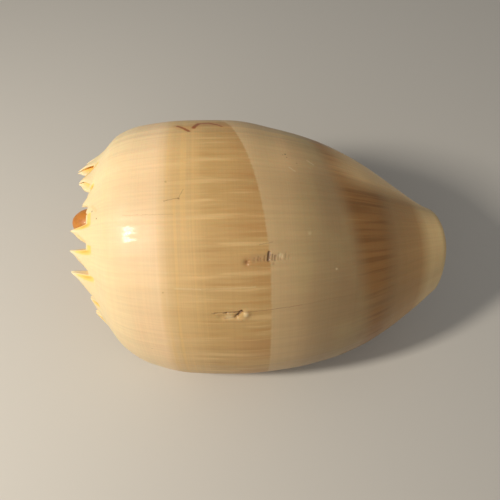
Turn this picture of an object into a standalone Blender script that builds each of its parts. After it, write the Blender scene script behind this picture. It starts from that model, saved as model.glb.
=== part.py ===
# A crowned volute shell, grown as one piece, lying with its aperture down.
# The coil axis runs along X with the spire at -X, and growth turns from +Y over +Z to -Y.
import math

import bmesh
import bpy
import numpy as np
from mathutils import Matrix, Vector

# Size and growth, in metres, degrees and turns (turn 0 is the lip, older turns are negative)
BODY_LENGTH = 0.1666           # crown line to anterior end, along the coil axis
BODY_RADIUS = 0.0733           # widest radius of the last whorl at the lip
WHORL_GROWTH = 1.77            # how much larger each turn is than the one before it
LIP_ANGLE = 220.0              # where the lip stands around the axis before the shell is laid down
FIRST_TURN = -2.0              # where the whorls start at the rim of the smooth first whorl
CANAL_TURN = -0.5              # where the anterior edge leaves the columella
CANAL_BLEND_TURNS = 0.2        # turns over which the inner face draws in to the columella
CANAL_BLEND_FROM = 0.75        # from this station on
CAVITY_TURNS = 0.85            # how far back the hollow reaches
CEILING_STEPS = 6              # across the hollow's ceiling, one for each line of the crown
WALL = 0.0030                  # thickness of the shell wall
LIP_WALL = 0.0022              # thickness at the lip and the anterior edge
EDGE_ROUND = 0.0006            # how far the edges bulge
TIP_DRAW = 0.10                # how much the hollow draws back from the columella's end inside
LIP_TAPER = 0.12               # turns over which the lip thickens to the wall
SLOPE_STEP = 0.01              # share of the wall's length over which its slope is read
TINY = 1e-6

# Columns of the surface from the crown line to the anterior end, as shares of the wall's length
COLUMNS = (0.0, 0.05, 0.12, 0.25, 0.40, 0.54, 0.63, 0.68, 0.73, 0.78, 0.83, 0.88, 0.94, 1.0)

# Outer wall: radius as a share of the body radius, at stations along its length
STATIONS = (0.0, 0.05, 0.12, 0.25, 0.40, 0.55, 0.68, 0.78, 0.86, 0.93, 1.0)
PROFILE_TURNS = (-2.0, -1.0, -0.5, -0.25, 0.0)
PROFILES = (
    (0.605, 0.76, 0.87, 0.94, 0.95, 0.87, 0.66, 0.42, 0.25, 0.170, 0.145),
    (0.660, 0.79, 0.88, 0.95, 0.96, 0.89, 0.69, 0.44, 0.26, 0.175, 0.150),
    (0.790, 0.91, 0.97, 1.000, 0.990, 0.905, 0.79, 0.655, 0.505, 0.345, 0.170),
    (0.720, 0.85, 0.92, 0.970, 0.985, 0.950, 0.86, 0.750, 0.635, 0.530, 0.450),
    (0.640, 0.785, 0.880, 0.945, 0.955, 0.930, 0.880, 0.805, 0.710, 0.600, 0.465),
)
# Where the wall starts and ends along the axis, as shares of the body length
START_TURNS = (-2.0, -1.0, -0.5, 0.0)
WALL_START = (0.030, 0.025, 0.018, 0.012)
END_TURNS = (-0.6, -0.5, -0.4, -0.3, -0.2, -0.1, 0.0)
WALL_END = (0.870, 0.875, 0.900, 0.930, 0.948, 0.945, 0.920)

# Crown of spines: each is a scale folded into a gutter that opens towards newer growth
SPINES_PER_TURN = 20
SPINE_HEIGHT = 0.0124
SPINE_GROWTH = 0.8             # how the spines grow with the whorl, as a power of its growth
SPINE_UNEVEN = 0.07            # how much taller or lower some spines are
SPINE_BEAT = (2.4, -1.2)       # which ones, as a sine's step and start
SPINE_START_TURNS = 0.5        # turns over which the first spines rise
OLDER_SHARE = 0.75             # height of the spines of the older whorl
SPINE_LEAN = 18.0              # how far the spines lean in over the spire
SWEEP_TURNS = (-0.40, -0.30, -0.25, -0.20)
SPINE_SWEEP = (46.0, 16.0, 0.0, -6.0)   # how far they lean towards newer growth
SPINE_ARM = 0.0025             # from the middle of the gutter to each arm
SPINE_FOOT = 0.0050            # from the middle of the gutter to the foot of the arm
SPINE_PINCH = 0.72             # how much the arms close towards the tip
BROKEN_SPINE = -7              # counted back from the lip
BROKEN_SHARE = 0.30
LOW_SPINES = 3                 # the newest ones, by the lip, are low
LOW_SHARE = 0.35
# Heights over one spine, as shares: foot, tip, then down the slope to the next foot
SPINE_STEPS = (0.0, 0.13, 0.28, 0.48, 0.68, 0.86, 1.0)
INNER_ARM = (0.20, 1.0, 0.91, 0.78, 0.60, 0.36, 0.20)
GUTTER = (0.16, 0.98, 0.40, 0.06, -0.06, -0.08, 0.16)
OUTER_ARM = (0.18, 0.97, 0.83, 0.64, 0.42, 0.20, 0.18)

# The crown between the spines and the suture
CROWN_START_TURNS = 0.45       # turns over which it widens from the first whorl
CROWN_GROWTH = 0.5
GUTTER_RISE = 0.0015
INNER_FOOT_DROP = 0.0006
RAMP_DIP = 0.0021

# Smooth first whorls, a small globe that stands off the middle of the crown
DOME_HEIGHT = 0.0244
DOME_LEVELS = (0.10, 0.22, 0.36, 0.55, 0.74, 0.88, 0.97)
DOME_RADII = (0.82, 0.64, 0.55, 0.54, 0.48, 0.35, 0.18)
DOME_LEAN = (0.0, 0.0048, 0.0030)
DOME_LEAN_LEVEL = 0.5          # where the lean is complete

# Folds on the columella
FOLD_COUNT = 3
FOLD_HEIGHT = 0.0015
FOLD_START = 0.60
FOLD_PITCH = 0.075
FOLD_SLANT = 0.10              # how far along the axis a fold climbs in one turn
FOLD_FADE_TURNS = (-0.8, -0.6)

# Lying down on the lip, the belly and the anterior end
REST_ROLL = -1.37
REST_PITCH = -0.63
REST_YAW = 1.2
WORN_FLAT = 0.0005             # depth worn flat where the shell touches the ground
CUT_DISTANCE = 1e-7            # corners this near to the ground count as on it

SHELL_COLOUR = (0.80, 0.60, 0.36, 1.0)
SHELL_ROUGHNESS = 0.3


def smooth_curve(knots, values, where):
    # Monotone cubic through the values, level beyond both ends
    knots = np.asarray(knots, float)
    values = np.asarray(values, float)
    where = np.asarray(where, float)
    widths = np.diff(knots)
    slopes = np.diff(values) / widths
    tangents = np.zeros_like(values)
    tangents[0] = slopes[0]
    tangents[-1] = slopes[-1]
    for index in range(1, len(knots) - 1):
        before, after = slopes[index - 1], slopes[index]
        if before * after > 0.0:
            tangents[index] = 2.0 * before * after / (before + after)
    cell = np.clip(np.searchsorted(knots, where, side="right") - 1, 0, len(knots) - 2)
    share = np.clip((where - knots[cell]) / widths[cell], 0.0, 1.0)
    squared = share * share
    cubed = squared * share
    return (
        (2.0 * cubed - 3.0 * squared + 1.0) * values[cell]
        + (cubed - 2.0 * squared + share) * widths[cell] * tangents[cell]
        + (3.0 * squared - 2.0 * cubed) * values[cell + 1]
        + (cubed - squared) * widths[cell] * tangents[cell + 1]
    )


def smooth_step(low, high, value):
    share = min(max((value - low) / (high - low), 0.0), 1.0)
    return share * share * (3.0 - 2.0 * share)


def wall_point(turn, station):
    # Axial place and radius of the outer wall
    turn = max(turn, FIRST_TURN)
    rings = [float(smooth_curve(STATIONS, profile, station)) for profile in PROFILES]
    share = float(smooth_curve(PROFILE_TURNS, rings, turn))
    start = float(smooth_curve(START_TURNS, WALL_START, turn))
    end = float(smooth_curve(END_TURNS, WALL_END, turn))
    axial = BODY_LENGTH * (start + (end - start) * station)
    return np.array((axial, BODY_RADIUS * WHORL_GROWTH ** turn * share))


def wall_inside(turn, station, depth):
    # The wall point moved in by the wall's thickness, square to the profile
    ahead = wall_point(turn, min(station + SLOPE_STEP, 1.0))
    behind = wall_point(turn, max(station - SLOPE_STEP, 0.0))
    along = (ahead - behind) / np.linalg.norm(ahead - behind)
    return wall_point(turn, station) + depth * np.array((along[1], -along[0]))


def place(point, turn):
    # From the half plane at this turn to space
    angle = math.radians(LIP_ANGLE) + 2.0 * math.pi * turn
    return (point[0], point[1] * math.cos(angle), point[1] * math.sin(angle))


def spine_number(turn):
    # The newest spine, next to the lip, is -1
    return math.floor(turn * SPINES_PER_TURN + TINY)


def spine_height(turn):
    number = spine_number(turn)
    height = SPINE_HEIGHT * WHORL_GROWTH ** (SPINE_GROWTH * turn)
    height *= 1.0 + SPINE_UNEVEN * math.sin(SPINE_BEAT[0] * number + SPINE_BEAT[1])
    height *= smooth_step(FIRST_TURN, FIRST_TURN + SPINE_START_TURNS, turn)
    if turn < -1.0:
        height *= OLDER_SHARE
    if number == BROKEN_SPINE:
        height *= BROKEN_SHARE
    if number >= -LOW_SPINES:
        height *= LOW_SHARE
    if number >= 0:
        height = 0.0
    return height


def spine_sweep(turn):
    # The same lean all over one spine
    foot = spine_number(turn) / SPINES_PER_TURN
    return float(smooth_curve(SWEEP_TURNS, SPINE_SWEEP, foot))


def crown_points(turn):
    # Suture, ramp, inner foot, inner arm, gutter, outer arm and outer foot of the crown
    suture = wall_point(turn - 1.0, 0.0)
    outer_foot = wall_point(turn, 0.0)
    size = smooth_step(FIRST_TURN, FIRST_TURN + CROWN_START_TURNS, turn)
    size *= WHORL_GROWTH ** (CROWN_GROWTH * turn)
    middle = outer_foot + size * np.array((-GUTTER_RISE, -SPINE_FOOT))
    inner_foot = outer_foot + size * np.array((INNER_FOOT_DROP, -2.0 * SPINE_FOOT))
    ramp = suture + 0.5 * (inner_foot - suture) + size * np.array((RAMP_DIP, 0.0))
    phase = turn * SPINES_PER_TURN - spine_number(turn)
    lean = math.radians(SPINE_LEAN)
    full_height = spine_height(turn)
    rise = full_height * np.array((-math.cos(lean), -math.sin(lean)))
    sweep = full_height * math.sin(math.radians(spine_sweep(turn))) / (2.0 * math.pi * middle[1])
    raised = []
    for side, heights in ((-1.0, INNER_ARM), (0.0, GUTTER), (1.0, OUTER_ARM)):
        height = float(smooth_curve(SPINE_STEPS, heights, phase))
        spread = SPINE_ARM * size * (1.0 - SPINE_PINCH * max(height, 0.0))
        point = middle + rise * height + np.array((0.0, side * spread))
        raised.append(place(point, turn + sweep * height))
    resting = [place(point, turn) for point in (suture, ramp, inner_foot, outer_foot)]
    return resting[:3] + raised + resting[3:]


def fold_ridge(turn, axial):
    # Slanting folds on the columella, as a rise in radius
    along = axial / BODY_LENGTH - FOLD_START - FOLD_SLANT * turn
    if not 0.0 < along < FOLD_COUNT * FOLD_PITCH:
        return 0.0
    fade = 1.0 - smooth_step(FOLD_FADE_TURNS[0], FOLD_FADE_TURNS[1], turn)
    return FOLD_HEIGHT * fade * math.sin(math.pi * along / FOLD_PITCH) ** 2


def outer_point(turn, station):
    # The outer wall with the folds where it is the columella
    point = wall_point(turn, station)
    point[1] += fold_ridge(turn, point[0])
    return point


def inner_point(turn, station):
    # The wall's inner face, which meets the columella where the canal begins
    thin = LIP_WALL + (WALL - LIP_WALL) * smooth_step(0.0, LIP_TAPER, -turn)
    canal_end = outer_point(turn - 1.0, 1.0)
    free_edge = wall_inside(turn, 1.0, thin)
    joined = smooth_step(CANAL_TURN + CANAL_BLEND_TURNS, CANAL_TURN, turn)
    point = wall_inside(turn, station, thin)
    share = smooth_step(CANAL_BLEND_FROM, 1.0, station) * joined
    return point + share * (canal_end - free_edge)


class Skin:
    # Gathers the corners and faces of the closed surface
    def __init__(self):
        self.corners = []
        self.faces = []

    def corner(self, position):
        self.corners.append(tuple(float(value) for value in position))
        return len(self.corners) - 1

    def face(self, *ring):
        kept = [index for place_in_ring, index in enumerate(ring) if index != ring[place_in_ring - 1]]
        if len(kept) > 2:
            self.faces.append(tuple(kept))

    def strip(self, first, second):
        for index in range(len(first) - 1):
            self.face(first[index], first[index + 1], second[index + 1], second[index])

    def zip_up(self, coarse, fine):
        # Joins two lines where the fine one has several corners to each stretch of the coarse one
        ratio = (len(fine) - 1) // (len(coarse) - 1)
        for index in range(len(coarse) - 1):
            middle = index * ratio + ratio // 2
            for step in range(index * ratio, index * ratio + ratio):
                base = coarse[index] if step < middle else coarse[index + 1]
                self.face(base, fine[step + 1], fine[step])
            self.face(coarse[index], coarse[index + 1], fine[middle])


def row_turns():
    # Every spine has the same steps, so a row and the row one turn older line up
    first = round(FIRST_TURN * SPINES_PER_TURN)
    rows = [(number + step) / SPINES_PER_TURN for number in range(first, 0) for step in SPINE_STEPS[:-1]]
    return rows + [0.0]


def build_skin():
    skin = Skin()
    turns = row_turns()
    turn_rows = SPINES_PER_TURN * (len(SPINE_STEPS) - 1)
    last = len(turns) - 1

    # Crown strip: from the suture over the spines to the outer foot, for both whorls
    start = skin.corner(place(wall_point(FIRST_TURN, 0.0), FIRST_TURN))
    rim = [start]
    crown = [[start] * 7]
    for row in range(1, last + 1):
        points = crown_points(turns[row])
        if row < turn_rows:
            rim.append(skin.corner(points[0]))
            suture = rim[row]
        else:
            suture = crown[row - turn_rows][-1]
        crown.append([suture] + [skin.corner(point) for point in points[1:]])
    for row in range(last):
        skin.strip(crown[row], crown[row + 1])

    # Dome inside the first turn of the crown
    steps = len(SPINE_STEPS) - 1
    apex_base = wall_point(FIRST_TURN, 0.0)
    ring_before = rim + [start]
    for level, share in zip(DOME_LEVELS, DOME_RADII):
        point = (apex_base[0] - DOME_HEIGHT * level, apex_base[1] * share)
        lean = np.array(DOME_LEAN) * smooth_step(0.0, DOME_LEAN_LEVEL, level)
        ring = [skin.corner(place(point, turns[row]) + lean) for row in range(0, turn_rows, steps)]
        ring.append(ring[0])
        if len(ring_before) > len(ring):
            skin.zip_up(ring, ring_before)
        else:
            skin.strip(ring_before, ring)
        ring_before = ring
    apex = skin.corner(np.array((apex_base[0] - DOME_HEIGHT, 0.0, 0.0)) + np.array(DOME_LEAN))
    for index in range(len(ring_before) - 1):
        skin.face(ring_before[index], ring_before[index + 1], apex)

    # Outer wall of the last whorl
    outer = {}
    for row in range(turn_rows, last + 1):
        wall = [skin.corner(place(outer_point(turns[row], station), turns[row])) for station in COLUMNS[1:]]
        outer[row] = [crown[row][-1]] + wall
    for row in range(turn_rows, last):
        skin.strip(outer[row], outer[row + 1])

    # Hollow: ceiling and wall on one side, older whorl and columella on the other
    depths = [number / SPINES_PER_TURN for number in range(round(CAVITY_TURNS * SPINES_PER_TURN) + 1)]
    walls = []
    columellas = []
    for depth in depths:
        reach = 1.0 - TIP_DRAW * smooth_step(-CANAL_TURN, CAVITY_TURNS, depth)
        if depth == 0.0:
            inside = outer[turn_rows][1:]
        else:
            inside = []
            for station in COLUMNS[1:]:
                inside.append(skin.corner(place(outer_point(-1.0 - depth, reach * station), -depth)))
        corner = outer_point(-1.0 - depth, COLUMNS[1])
        shoulder = inner_point(-depth, 0.0)
        rise = (shoulder - corner) / CEILING_STEPS
        ceiling = [corner + rise * step for step in range(1, CEILING_STEPS)]
        points = ceiling + [inner_point(-depth, reach * station) for station in COLUMNS[:-1]]
        side = [inside[0]] + [skin.corner(place(point, -depth)) for point in points]
        if depth < -CANAL_TURN:
            side.append(skin.corner(place(inner_point(-depth, 1.0), -depth)))
        else:
            side.append(inside[-1])
        walls.append(side)
        columellas.append(inside)
    for index in range(len(depths) - 1):
        skin.strip(walls[index], walls[index + 1])
        skin.strip(columellas[index], columellas[index + 1])
    ring = walls[-1][:-1] + columellas[-1][:0:-1]
    centre = np.mean([skin.corners[index] for index in ring], axis=0)
    end = skin.corner(centre)
    for index in range(len(ring)):
        skin.face(ring[index - 1], ring[index], end)

    # Rounded edge along the lip and on along the anterior end to the columella
    canal_rows = round(-CANAL_TURN * turn_rows)
    lip = [crown[last][0]] + crown[last][1:] + outer[last][1:]
    lip_inside = walls[0]
    edge = []
    for first, second in zip(lip[1:], lip_inside[1:]):
        middle = 0.5 * (np.array(skin.corners[first]) + np.array(skin.corners[second]))
        growth = np.array(place((0.0, 1.0), 0.25)) * EDGE_ROUND
        edge.append(skin.corner(middle + growth))
    skin.face(lip[0], lip[1], edge[0], lip_inside[1], lip_inside[0])
    skin.strip(lip[1:], edge)
    skin.strip(edge, lip_inside[1:])
    rim_outer = [outer[last - row][-1] for row in range(canal_rows + 1)]
    rim_inner = [walls[index][-1] for index in range(len(depths)) if depths[index] <= -CANAL_TURN + TINY]
    rim_edge = [edge[-1]]
    for row in range(1, canal_rows + 1):
        turn = turns[last - row]
        inside = place(inner_point(turn, 1.0), turn)
        middle = 0.5 * (np.array(skin.corners[rim_outer[row]]) + np.array(inside))
        rim_edge.append(skin.corner(middle + np.array((EDGE_ROUND, 0.0, 0.0))))
    skin.strip(rim_outer, rim_edge)
    skin.zip_up(rim_inner, rim_edge)

    # Anterior end of the columella
    loop = [outer[row][-1] for row in range(turn_rows, last - canal_rows + 1)] + [rim_edge[-1]]
    loop += [side[-1] for side, depth in zip(columellas, depths) if 0.0 < depth <= -CANAL_TURN + TINY][::-1]
    tip = skin.corner((BODY_LENGTH * WALL_END[0] + EDGE_ROUND, 0.0, 0.0))
    for index in range(len(loop)):
        skin.face(loop[index - 1], loop[index], tip)
    return skin


def lay_down(shell):
    # Turned to rest on lip, belly and anterior end, then worn flat where it touches
    turn = Matrix.Rotation(math.radians(REST_YAW), 4, "Z")
    turn = turn @ Matrix.Rotation(math.radians(REST_PITCH), 4, "Y")
    turn = turn @ Matrix.Rotation(math.radians(REST_ROLL), 4, "X")
    bmesh.ops.transform(shell, matrix=turn, verts=shell.verts)
    low = Vector([min(corner.co[axis] for corner in shell.verts) for axis in range(3)])
    high = Vector([max(corner.co[axis] for corner in shell.verts) for axis in range(3)])
    middle = 0.5 * (low + high)
    shift = Vector((-middle.x, -middle.y, -low.z - WORN_FLAT))
    bmesh.ops.translate(shell, vec=shift, verts=shell.verts)
    parts = shell.verts[:] + shell.edges[:] + shell.faces[:]
    cut = bmesh.ops.bisect_plane(
        shell,
        geom=parts,
        dist=CUT_DISTANCE,
        plane_co=(0.0, 0.0, 0.0),
        plane_no=(0.0, 0.0, -1.0),
        clear_outer=True,
    )
    edges = [item for item in cut["geom_cut"] if isinstance(item, bmesh.types.BMEdge)]
    bmesh.ops.holes_fill(shell, edges=edges, sides=0)


def make_material():
    material = bpy.data.materials.new("shell")
    material.use_nodes = True
    surface = material.node_tree.nodes["Principled BSDF"]
    surface.inputs["Base Color"].default_value = SHELL_COLOUR
    surface.inputs["Roughness"].default_value = SHELL_ROUGHNESS
    surface.inputs["Metallic"].default_value = 0.0
    material.diffuse_color = SHELL_COLOUR
    return material


def make_shell(collection):
    skin = build_skin()
    mesh = bpy.data.meshes.new("shell")
    mesh.from_pydata(skin.corners, [], skin.faces)
    shell = bmesh.new()
    shell.from_mesh(mesh)
    bmesh.ops.recalc_face_normals(shell, faces=shell.faces)
    lay_down(shell)
    bmesh.ops.triangulate(shell, faces=shell.faces)
    shell.to_mesh(mesh)
    shell.free()
    mesh.shade_smooth()
    mesh.materials.append(make_material())
    part = bpy.data.objects.new("shell", mesh)
    collection.objects.link(part)
    return part


def main():
    for item in list(bpy.data.objects):
        bpy.data.objects.remove(item, do_unlink=True)
    collection = bpy.data.collections.new("crowned volute shell")
    bpy.context.scene.collection.children.link(collection)
    make_shell(collection)


main()
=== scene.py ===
# Crowned volute shell: its finished surface, the light on it and the camera
import math

import bmesh
import bpy
import numpy as np
from mathutils import Matrix, Vector


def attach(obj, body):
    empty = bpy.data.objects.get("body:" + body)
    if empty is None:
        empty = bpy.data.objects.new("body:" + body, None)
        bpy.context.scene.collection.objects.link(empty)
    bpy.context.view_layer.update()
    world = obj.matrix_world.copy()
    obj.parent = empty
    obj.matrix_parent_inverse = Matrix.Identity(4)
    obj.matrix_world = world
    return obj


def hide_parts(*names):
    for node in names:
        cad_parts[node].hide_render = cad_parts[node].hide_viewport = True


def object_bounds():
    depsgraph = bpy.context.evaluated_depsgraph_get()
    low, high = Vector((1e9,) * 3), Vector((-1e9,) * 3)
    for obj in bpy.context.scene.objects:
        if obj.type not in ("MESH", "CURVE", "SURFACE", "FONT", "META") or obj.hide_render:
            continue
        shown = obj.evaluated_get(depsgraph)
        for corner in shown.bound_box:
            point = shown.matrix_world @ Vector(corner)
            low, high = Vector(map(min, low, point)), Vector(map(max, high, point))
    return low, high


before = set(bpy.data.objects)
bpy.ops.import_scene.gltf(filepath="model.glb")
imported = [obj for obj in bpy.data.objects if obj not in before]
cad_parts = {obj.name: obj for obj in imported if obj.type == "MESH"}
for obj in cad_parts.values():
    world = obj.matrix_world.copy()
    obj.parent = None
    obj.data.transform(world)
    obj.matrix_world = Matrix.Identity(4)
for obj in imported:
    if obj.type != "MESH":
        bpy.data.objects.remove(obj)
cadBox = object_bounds()
print("frame loaded")

# How the shell grew: metres, degrees and turns, with the lip at turn 0 and older turns negative
form = {
    "bodyLength": 0.1666,
    "bodyRadius": 0.0733,
    "whorlGrowth": 1.77,
    "lipAngle": 220.0,
    "firstTurn": -2.0,
    "canalTurn": -0.5,        # where the front edge leaves the columella
    "cavityTurns": 0.85,      # how far the hollow goes back from the lip
    "tipDraw": 0.10,          # how much it shortens on the way
    "wall": 0.0030,
    "lipWall": 0.0022,
    "lipTaper": 0.12,         # turns over which the wall thins towards the lip
    "edgeRound": 0.0006,
    "joinTurns": 0.2,         # the inner face meets the columella over these turns
    "joinStation": 0.75,
    "slopeStep": 0.01,        # stations to each side that give the wall's slope
    # outer wall: share of the body radius at stations from the crown (0) to the front end (1)
    "stations": (0.0, 0.05, 0.12, 0.25, 0.40, 0.55, 0.68, 0.78, 0.86, 0.93, 1.0),
    "profileTurns": (-2.0, -1.0, -0.5, -0.25, 0.0),
    "profiles": (
        (0.605, 0.76, 0.87, 0.94, 0.95, 0.87, 0.66, 0.42, 0.25, 0.170, 0.145),
        (0.660, 0.79, 0.88, 0.95, 0.96, 0.89, 0.69, 0.44, 0.26, 0.175, 0.150),
        (0.790, 0.91, 0.97, 1.000, 0.990, 0.905, 0.79, 0.655, 0.505, 0.345, 0.090),
        (0.720, 0.85, 0.92, 0.970, 0.985, 0.950, 0.86, 0.750, 0.635, 0.530, 0.450),
        (0.640, 0.785, 0.880, 0.945, 0.955, 0.930, 0.880, 0.805, 0.710, 0.600, 0.465),
    ),
    # where the wall starts and ends along the axis, as shares of the body length
    "startTurns": (-2.0, -1.0, -0.5, 0.0),
    "wallStart": (0.030, 0.025, 0.018, 0.012),
    "endTurns": (-0.6, -0.5, -0.4, -0.3, -0.2, -0.1, 0.0),
    "wallEnd": (0.870, 0.875, 0.900, 0.930, 0.948, 0.945, 0.920),
    "foldCount": 3,           # slanting folds on the columella
    "foldHeight": 0.0015,
    "foldStart": 0.60,
    "foldPitch": 0.075,
    "foldSlant": 0.10,
    "foldFade": (-0.8, -0.6),
    "attachStation": 0.05,    # how far down the older whorl the newer one is joined to it
    "rest": (1.2, -0.63, -1.37),  # yaw, pitch and roll as it lies
}

# The crown: scales folded into gutters that open towards newer growth
spines = {
    "perTurn": 20,
    "height": 0.0124,
    "growth": 0.8,            # how they grow with the whorl
    "uneven": 0.07,
    "beat": (2.4, -1.2),      # how the unevenness goes on from spine to spine
    "shorter": {12: 0.82, 14: 0.90, 15: 0.96, 16: 0.88},    # by place in the turn
    "startTurns": 0.5,        # turns over which the first ones appear
    "olderShare": 0.75,
    "lean": 18.0,             # degrees towards the axis
    "sweepTurns": (-0.40, -0.30, -0.25, -0.20),
    "sweep": (46.0, 8.0, -2.0, -6.0),     # degrees along the whorl
    "arm": 0.0025,
    "foot": 0.0050,
    "pinch": 0.62,            # how much the two arms close in towards the tip
    "broken": -7,
    "brokenShare": 0.34,
    "brokenEdge": (0.42, 0.30, 0.52, 1.05, 0.30, 0.46, 0.24),
    "ragged": 0.14,           # how uneven its broken edge is, and how often
    "chips": 31.0,
    "lateFeet": {14: 0.30, 15: 0.14},     # how late they start, by place in the turn
    "lateRows": 4,
    "dimple": 0.0008,         # small pit outside the foot of each spine
    "dimpleTurns": -1.0,      # on spines newer than this
    "dimplePhase": (0.07, 0.11),          # middle and width along the spine
    "dimplePlace": (-0.09, 0.07),         # and across the crown
    # how much of the pit colour, painted light through the shell with painted shade, each small pit takes
    "dimpleGlowShade": 0.48,
    "lowCount": 3,            # the newest ones, by the lip, are low
    "lowShare": 0.35,
    # height of each line along a spine, from its steep back to the start of the next one
    "steps": (0.0, 0.13, 0.28, 0.48, 0.68, 0.86, 1.0),
    "innerArm": (0.20, 1.0, 0.91, 0.78, 0.60, 0.36, 0.20),
    "gutter": (0.16, 0.98, 0.52, 0.20, 0.04, -0.02, 0.16),
    "outerArm": (0.18, 0.97, 0.76, 0.54, 0.33, 0.17, 0.18),
    "crownStart": 0.45,       # turns over which the crown widens
    "crownGrowth": 0.5,
    "gutterRise": 0.0015,
    "innerFootDrop": 0.0006,
    "rampDip": 0.0021,
}

# The first whorls, a small globe that stands off the middle of the crown
dome = {
    "height": 0.0244,
    "levels": (0.0, 0.10, 0.22, 0.36, 0.55, 0.74, 0.88, 0.97, 1.0),
    "radii": (1.0, 0.82, 0.64, 0.55, 0.54, 0.48, 0.35, 0.18, 0.0),
    "lean": (-0.0002, 0.0058, 0.0036),
    "leanLevel": 0.5,
}

# How finely the surface is cut up
mesh = {
    "backRows": 7,            # rows up the steep back of a spine
    "slopeRows": 17,          # rows down its slope
    "stretchColumns": (3, 3, 3, 4, 4, 4),   # crown columns between its seven lines
    "wallColumns": 92,
    "insideStride": 6,        # the hollow has one row to six outside
    "domeRings": 18,
    "domeStride": 4,
    "edgeRows": 3,
    "crownFade": -0.12,       # where on the crown its own colour gives way to the wall's
}

# Relief that is too fine for the form: growth lines and slow unevenness, in metres
relief = {
    "seed": 11,
    "lineCount": 9,
    "lineHeight": 0.000022,
    "lineLow": 22.0,          # lines in one turn
    "lineHigh": 120.0,
    "lineBeat": (7.0, 5.0),   # how they strengthen and fade along the whorl and across it
    "lineBend": (1.5, 3.0),
    "waveCount": 5,
    "waveHeight": 0.00012,
    "waveAlong": (2.0, 6.0),
    "waveAcross": (2.0, 7.0),
    "endFade": 0.06,          # stations at each end over which it all fades
    # ledges where growth halted: turn, height, and how far back the ledge runs out
    "halts": (
        (-0.4130, 0.00014, 0.020),
        (-0.3100, 0.00007, 0.016),
        (-0.2085, 0.00012, 0.018),
        (-0.1845, 0.00010, 0.012),
        (-0.0900, 0.00012, 0.020),
    ),
    "haltEdge": 0.0016,
}

# Healed damage that stands in the wall: places are (turn, station), sizes are metres
scars = {
    "turnLength": 0.385,      # metres of wall to a turn and to a station where the scars are
    "stationLength": 0.157,
    "cuts": 5,                # how often an edge of the mesh is cut up round them
    "patches": (((-0.252, -0.226), (0.405, 0.550)), ((-0.194, -0.166), (0.315, 0.440))),
    # grooves (height below 0) and ridges: height, half width, and both ends
    "lines": (
        (-0.00040, 0.00036, (-0.1812, 0.3350), (-0.1815, 0.3650)),
        (-0.00050, 0.00040, (-0.1815, 0.3650), (-0.1828, 0.4080)),
        (-0.00030, 0.00110, (-0.1772, 0.3500), (-0.1780, 0.3900)),
        (-0.00100, 0.00060, (-0.1832, 0.4040), (-0.1768, 0.3900)),
        (0.00022, 0.00080, (-0.1730, 0.3600), (-0.1722, 0.4000)),
        (0.00028, 0.00055, (-0.2332, 0.4260), (-0.2326, 0.4850)),
        (-0.00022, 0.00040, (-0.2362, 0.4230), (-0.2358, 0.4700)),
    ),
    "bumps": (
        (0.00065, 0.00150, (-0.1802, 0.4150)),
        (0.00030, 0.00160, (-0.1765, 0.4110)),
        (-0.00055, 0.00110, (-0.2350, 0.4210)),
        (0.00020, 0.00220, (-0.2395, 0.5080)),
    ),
    "tickEnd": -0.2362,
    "tickSlant": 0.4,
    # ticks across the crimped scar: station, length in turns, depth, half width, how dark; the dark colour
    # is painted shade in the tick grooves
    "ticks": (
        (0.4405, 0.0028, 0.00010, 0.00028, 0.18),
        (0.4500, 0.0040, 0.00013, 0.00024, 0.28),
        (0.4560, 0.0026, 0.00015, 0.00026, 0.20),
        (0.4665, 0.0046, 0.00016, 0.00026, 0.28),
        (0.4760, 0.0080, 0.00050, 0.00046, 0.80),
        (0.4860, 0.0056, 0.00020, 0.00024, 0.34),
        (0.4925, 0.0042, 0.00018, 0.00034, 0.42),
        (0.5020, 0.0066, 0.00016, 0.00022, 0.10),
        (0.5080, 0.0050, 0.00015, 0.00026, 0.07),
        (0.5200, 0.0060, 0.00012, 0.00022, 0.05),
        (0.5290, 0.0036, 0.00008, 0.00024, 0.03),
    ),
    # colour of the ticks: painted shade in their grooves
    "tickShadeColour": (0.150, 0.075, 0.042),
}


def smoothCurve(knots, values, where):
    # monotone cubic through a list or table of values, level beyond both ends
    knots, values, where = (np.asarray(item, float) for item in (knots, values, where))
    wide = (-1,) + (1,) * (values.ndim - 1)
    widths = np.diff(knots)
    slopes = np.diff(values, axis=0) / widths.reshape(wide)
    before, after = slopes[:-1], slopes[1:]
    same = before * after > 0.0
    inner = np.where(same, 2.0 * before * after / np.where(same, before + after, 1.0), 0.0)
    tangents = np.concatenate((slopes[:1], inner, slopes[-1:]))
    cell = np.clip(np.searchsorted(knots, where, side="right") - 1, 0, len(knots) - 2)
    share = np.clip((where - knots[cell]) / widths[cell], 0.0, 1.0)
    if values.ndim > 1:
        share, width = share[..., None], widths[cell][..., None]
    else:
        width = widths[cell]
    squared, cubed = share ** 2, share ** 3
    return (
        (2.0 * cubed - 3.0 * squared + 1.0) * values[cell]
        + (cubed - 2.0 * squared + share) * width * tangents[cell]
        + (3.0 * squared - 2.0 * cubed) * values[cell + 1]
        + (cubed - squared) * width * tangents[cell + 1]
    )


def smoothStep(low, high, value):
    share = np.clip((value - low) / (high - low), 0.0, 1.0)
    return share * share * (3.0 - 2.0 * share)


def wallProfile(turns, stations):
    # axial place and radius of the outer wall, a row for each turn and a column for each station
    turns = np.maximum(np.asarray(turns, float), form["firstTurn"])
    rings = np.array([smoothCurve(form["stations"], profile, stations) for profile in form["profiles"]])
    shares = smoothCurve(form["profileTurns"], rings, turns)
    start = smoothCurve(form["startTurns"], form["wallStart"], turns)[:, None]
    end = smoothCurve(form["endTurns"], form["wallEnd"], turns)[:, None]
    axial = form["bodyLength"] * (start + (end - start) * stations)
    radius = form["bodyRadius"] * form["whorlGrowth"] ** turns[:, None] * shares
    return np.stack((axial, radius), axis=-1)


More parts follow.
